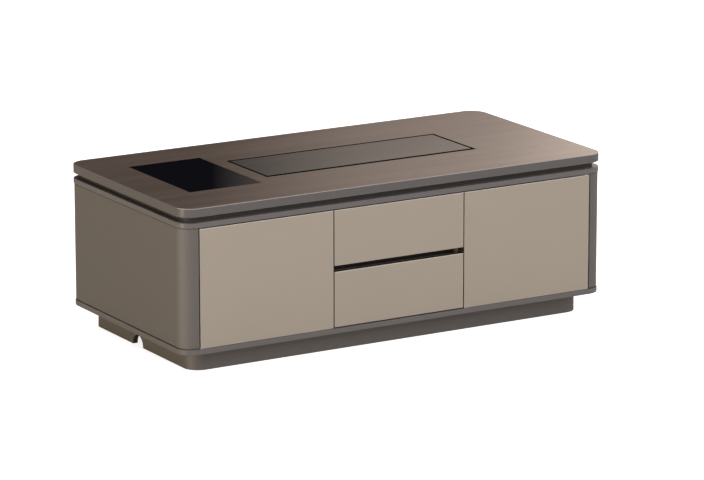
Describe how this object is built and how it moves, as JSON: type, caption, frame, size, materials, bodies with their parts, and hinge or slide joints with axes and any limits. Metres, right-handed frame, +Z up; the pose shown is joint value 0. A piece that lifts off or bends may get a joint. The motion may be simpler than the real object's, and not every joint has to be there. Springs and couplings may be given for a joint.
{
  "type": "gongfu tea table",
  "caption": "Low rectangular tea table with rounded corners, two push-open doors, two drawers, a draining tea tray and a built-in hob.",
  "frame": {"origin": "on the floor, under the middle of the table", "axes": "+X to the right along the length, +Y from the drawer side to the back, +Z up"},
  "size_m": [1.4, 0.7, 0.48],
  "materials": {
    "wood_grain_top": "satin wood-grain laminate, brown grey",
    "edge_grey": "matt lacquer, warm grey",
    "shell_grey": "matt lacquer, warm grey",
    "front_beige": "satin lacquer, grey beige",
    "shadow_dark": "matt lacquer, near black",
    "inner_board": "melamine, light grey",
    "black_glass": "black ceramic glass, polished",
    "tray_board": "phenolic board, semi-gloss, dark grey",
    "channel_metal": "anodised, dark bronze",
    "steel": "zinc plated or stainless steel",
    "black_plastic": "moulded, matt",
    "housing_sheet": "powder coated sheet steel",
    "copper_coil": "enamelled wire",
    "circuit_card": "printed circuit card",
    "heat_sink_alloy": "extruded, plain",
    "foot_rubber": "moulded rubber"
  },
  "bodies": {
    "root": {"plinth_left": "shell_grey", "plinth_right": "shell_grey", "plinth_front": "shell_grey", "plinth_back": "shell_grey", "plinth_rails": "inner_board", "bottom_board": "edge_grey", "cable_grommet": "black_plastic", "side_shell_left": "shell_grey", "side_shell_right": "shell_grey", "back_panel": "shell_grey", "partition_left": "inner_board", "partition_right": "inner_board", "carcass_top": "edge_grey", "spacer_rails": "shadow_dark", "tabletop": "wood_grain_top", "pivot_bushes": "black_plastic", "latch_bodies": "black_plastic", "upper_cabinet_rails": "steel", "lower_cabinet_rails": "steel", "finger_channel": "channel_metal", "hob_glass": "black_glass", "hob_housing": "housing_sheet", "hob_cable_gland": "black_plastic", "hob_coils": "copper_coil", "hob_coil_carriers": "black_plastic", "hob_fan_frame": "black_plastic", "hob_circuit_board": "circuit_card", "hob_heat_sink": "heat_sink_alloy", "hob_clamps": "steel", "drain_pan": "steel", "drain_spigot": "black_plastic", "drain_nut": "black_plastic", "drain_strainer": "steel"},
    "door_left": {"door_left": "front_beige", "door_pivots_left": "steel", "strike_plate_left": "steel"},
    "door_right": {"door_right": "front_beige", "door_pivots_right": "steel", "strike_plate_right": "steel"},
    "latch_plunger_left": {"latch_plunger_left": "black_plastic"},
    "latch_plunger_right": {"latch_plunger_right": "black_plastic"},
    "fan_rotor": {"hob_fan_rotor": "black_plastic"},
    "tea_tray": {"tea_tray_slab": "tray_board", "tray_feet": "foot_rubber"},
    "upper_drawer": {"upper_drawer_front": "front_beige", "upper_drawer_sides": "inner_board", "upper_drawer_ends": "inner_board", "upper_drawer_bottom": "inner_board", "upper_drawer_rails": "steel"},
    "upper_runner_middle": {"upper_middle_rails": "steel"},
    "lower_drawer": {"lower_drawer_front": "front_beige", "lower_drawer_sides": "inner_board", "lower_drawer_ends": "inner_board", "lower_drawer_bottom": "inner_board", "lower_drawer_rails": "steel"},
    "lower_runner_middle": {"lower_middle_rails": "steel"}
  },
  "joints": [
    {"name": "door_left_swing", "type": "hinge", "parent": "root", "child": "door_left", "pos_m": [-0.6395, -0.341, 0.25], "axis": [0, 0, -1], "range_deg": [0, 100]},
    {"name": "door_right_swing", "type": "hinge", "parent": "root", "child": "door_right", "pos_m": [0.6395, -0.341, 0.25], "axis": [0, 0, 1], "range_deg": [0, 100]},
    {"name": "upper_drawer_slide", "type": "slide", "parent": "root", "child": "upper_drawer", "axis": [0, -1, 0], "range_m": [0, 0.48]},
    {"name": "upper_runner_extend", "type": "slide", "parent": "root", "child": "upper_runner_middle", "axis": [0, -1, 0], "range_m": [0, 0.24]},
    {"name": "lower_drawer_slide", "type": "slide", "parent": "root", "child": "lower_drawer", "axis": [0, -1, 0], "range_m": [0, 0.48]},
    {"name": "lower_runner_extend", "type": "slide", "parent": "root", "child": "lower_runner_middle", "axis": [0, -1, 0], "range_m": [0, 0.24]},
    {"name": "latch_left_press", "type": "slide", "parent": "root", "child": "latch_plunger_left", "axis": [0, 1, 0], "range_m": [0, 0.003], "stiffness_N_per_m": 400},
    {"name": "latch_right_press", "type": "slide", "parent": "root", "child": "latch_plunger_right", "axis": [0, 1, 0], "range_m": [0, 0.003], "stiffness_N_per_m": 400},
    {"name": "tea_tray_lift", "type": "slide", "parent": "root", "child": "tea_tray", "axis": [0, 0, 1], "range_m": [0, 0.09]},
    {"name": "fan_spin", "type": "hinge", "parent": "root", "child": "fan_rotor", "pos_m": [-0.463, -0.0685, 0.425], "axis": [0, 0, 1], "continuous": true}
  ],
  "couplings": [
    {"joint": "upper_runner_extend", "follows": "upper_drawer_slide", "ratio": 0.5},
    {"joint": "lower_runner_extend", "follows": "lower_drawer_slide", "ratio": 0.5}
  ]
}
